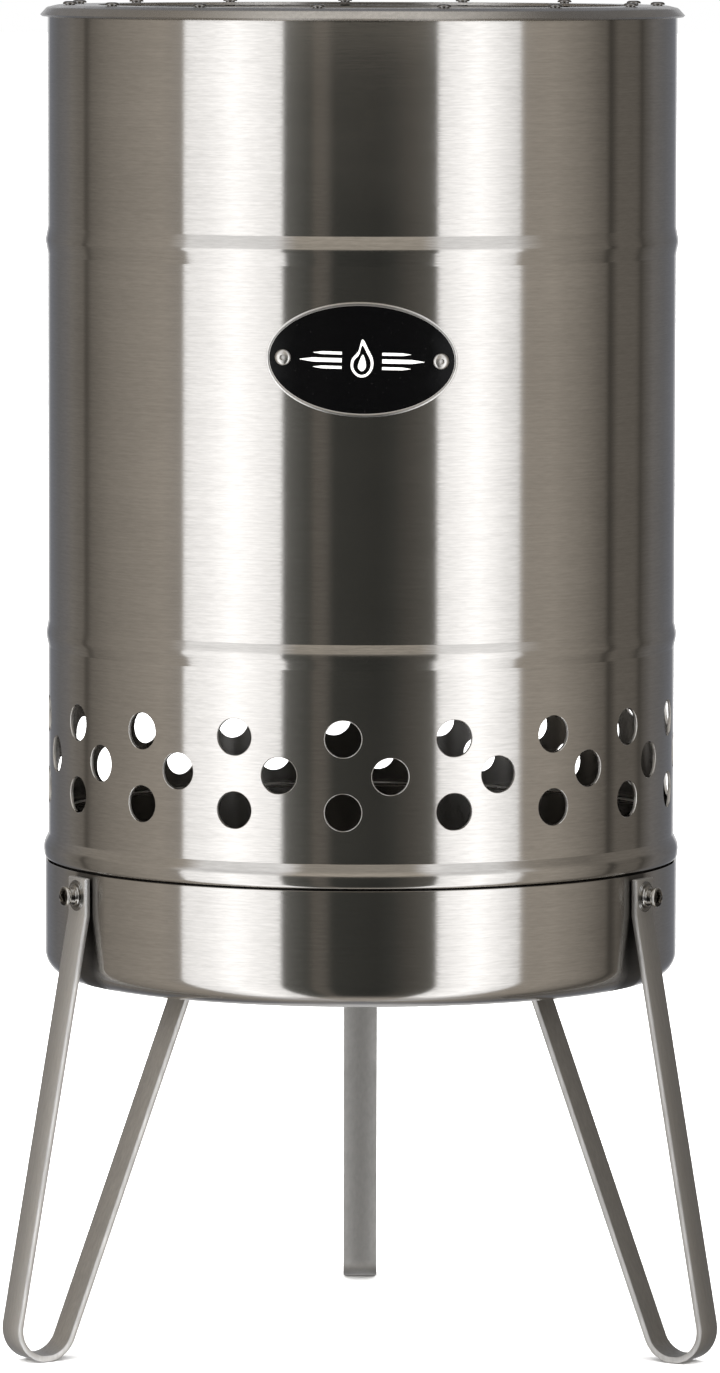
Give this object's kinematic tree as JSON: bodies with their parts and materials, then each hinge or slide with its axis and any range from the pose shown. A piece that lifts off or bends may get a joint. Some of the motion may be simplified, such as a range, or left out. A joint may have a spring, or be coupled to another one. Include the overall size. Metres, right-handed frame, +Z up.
{
  "type": "chimney charcoal starter",
  "caption": "Double-walled cylindrical charcoal starter in brushed stainless steel, with rows of air holes, a riveted top ring and a lift-off chimney on a shallow pan with hairpin strap legs.",
  "frame": {"origin": "on the chimney's axis, at the floor that its three feet stand on", "axes": "+Z up along the chimney's axis; the nameplate faces -Y; +X is to the right as seen from the front"},
  "size_m": [0.2256, 0.2293, 0.4272],
  "materials": {
    "brushed_sheet": "stainless sheet, brushed round the cylinder, satin",
    "inner_sheet": "plain mill-finish stainless sheet, unbrushed",
    "strap_steel": "satin strap with sheared edges",
    "polished_fastener": "polished stainless fasteners",
    "black_enamel": "gloss black field with a thin bright rim"
  },
  "bodies": {
    "stand": {"base_pan": "brushed_sheet", "centering_collar": "brushed_sheet", "leg_left": "strap_steel", "leg_right": "strap_steel", "leg_back": "strap_steel", "leg_bolt_left": "polished_fastener", "leg_bolt_right": "polished_fastener", "leg_bolt_back": "polished_fastener", "leg_washer_left": "polished_fastener", "leg_washer_right": "polished_fastener", "leg_washer_back": "polished_fastener", "leg_nut_left": "polished_fastener", "leg_nut_right": "polished_fastener", "leg_nut_back": "polished_fastener", "leg_rivet_left": "polished_fastener", "leg_rivet_right": "polished_fastener", "leg_rivet_back": "polished_fastener"},
    "chimney": {"jacket": "brushed_sheet", "fire_tube": "inner_sheet", "top_ring": "brushed_sheet", "ring_rivet_01": "polished_fastener", "ring_rivet_02": "polished_fastener", "ring_rivet_03": "polished_fastener", "ring_rivet_04": "polished_fastener", "ring_rivet_05": "polished_fastener", "ring_rivet_06": "polished_fastener", "ring_rivet_07": "polished_fastener", "ring_rivet_08": "polished_fastener", "ring_rivet_09": "polished_fastener", "ring_rivet_10": "polished_fastener", "ring_rivet_11": "polished_fastener", "ring_rivet_12": "polished_fastener", "ring_rivet_13": "polished_fastener", "ring_rivet_14": "polished_fastener", "ring_rivet_15": "polished_fastener", "nameplate": "black_enamel", "nameplate_rivet_left": "polished_fastener", "nameplate_rivet_right": "polished_fastener"},
    "grate": {"coal_grate": "inner_sheet"}
  },
  "joints": [
    {"name": "chimney_lift", "type": "slide", "parent": "stand", "child": "chimney", "axis": [0, 0, 1], "range_m": [0, 0.1]},
    {"name": "coal_grate_lift", "type": "slide", "parent": "chimney", "child": "grate", "axis": [0, 0, 1], "range_m": [0, 0.24]}
  ]
}
